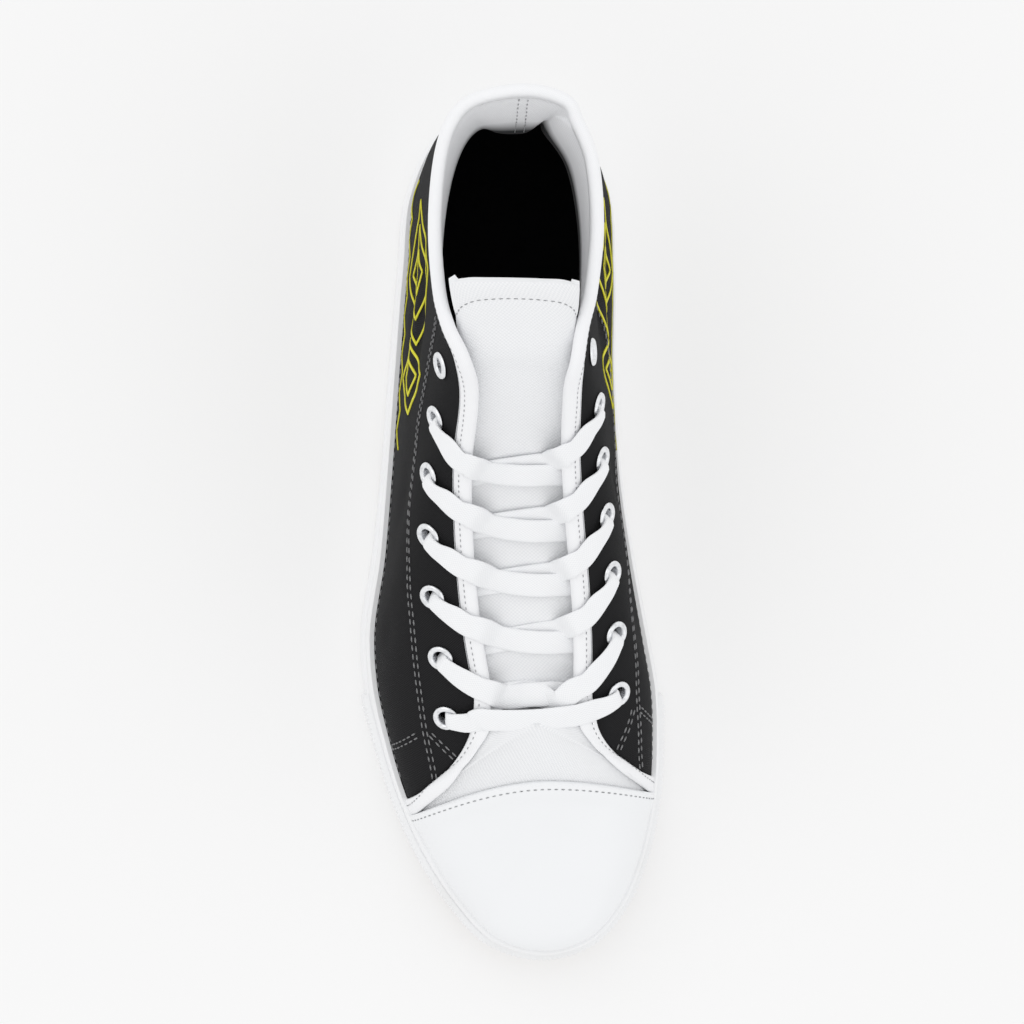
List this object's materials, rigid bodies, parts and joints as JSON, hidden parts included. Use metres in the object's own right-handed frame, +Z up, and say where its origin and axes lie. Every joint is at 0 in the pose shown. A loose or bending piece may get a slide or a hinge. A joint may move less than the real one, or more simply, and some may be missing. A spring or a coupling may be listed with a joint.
{
  "type": "high top canvas sneaker",
  "caption": "High top canvas sneaker for the right foot: hollow lace-up upper with rolled edges, rubber toe cap, tongue, eyelets, flat lace and a rubber sole with a side band.",
  "frame": {"origin": "middle of the shoe's outline on the floor", "axes": "+Z up, toe towards -Y, heel towards +Y, big toe side towards +X"},
  "size_m": [0.104, 0.2902, 0.1564],
  "materials": {
    "outsole": "matte",
    "midsole": "matte",
    "sidewall": "satin",
    "toe_rubber": "satin",
    "insole": "matte",
    "canvas": "woven",
    "binding": "woven",
    "tongue": "woven",
    "eyelet": "satin",
    "lace": "woven"
  },
  "bodies": {
    "root": {"outsole": "outsole", "midsole": "midsole", "foxing": "sidewall", "toe_bumper": "sidewall", "toe_cap": "toe_rubber", "insole": "insole", "upper": "canvas", "binding": "binding", "tongue": "tongue", "eyelet_lateral_1": "eyelet", "eyelet_lateral_2": "eyelet", "eyelet_lateral_3": "eyelet", "eyelet_lateral_4": "eyelet", "eyelet_lateral_5": "eyelet", "eyelet_lateral_6": "eyelet", "eyelet_lateral_7": "eyelet", "eyelet_medial_1": "eyelet", "eyelet_medial_2": "eyelet", "eyelet_medial_3": "eyelet", "eyelet_medial_4": "eyelet", "eyelet_medial_5": "eyelet", "eyelet_medial_6": "eyelet", "eyelet_medial_7": "eyelet", "lace_bar_1": "lace", "lace_cross_2": "lace", "lace_cross_3": "lace", "lace_cross_4": "lace", "lace_cross_5": "lace", "lace_cross_6": "lace"}
  },
  "joints": []
}
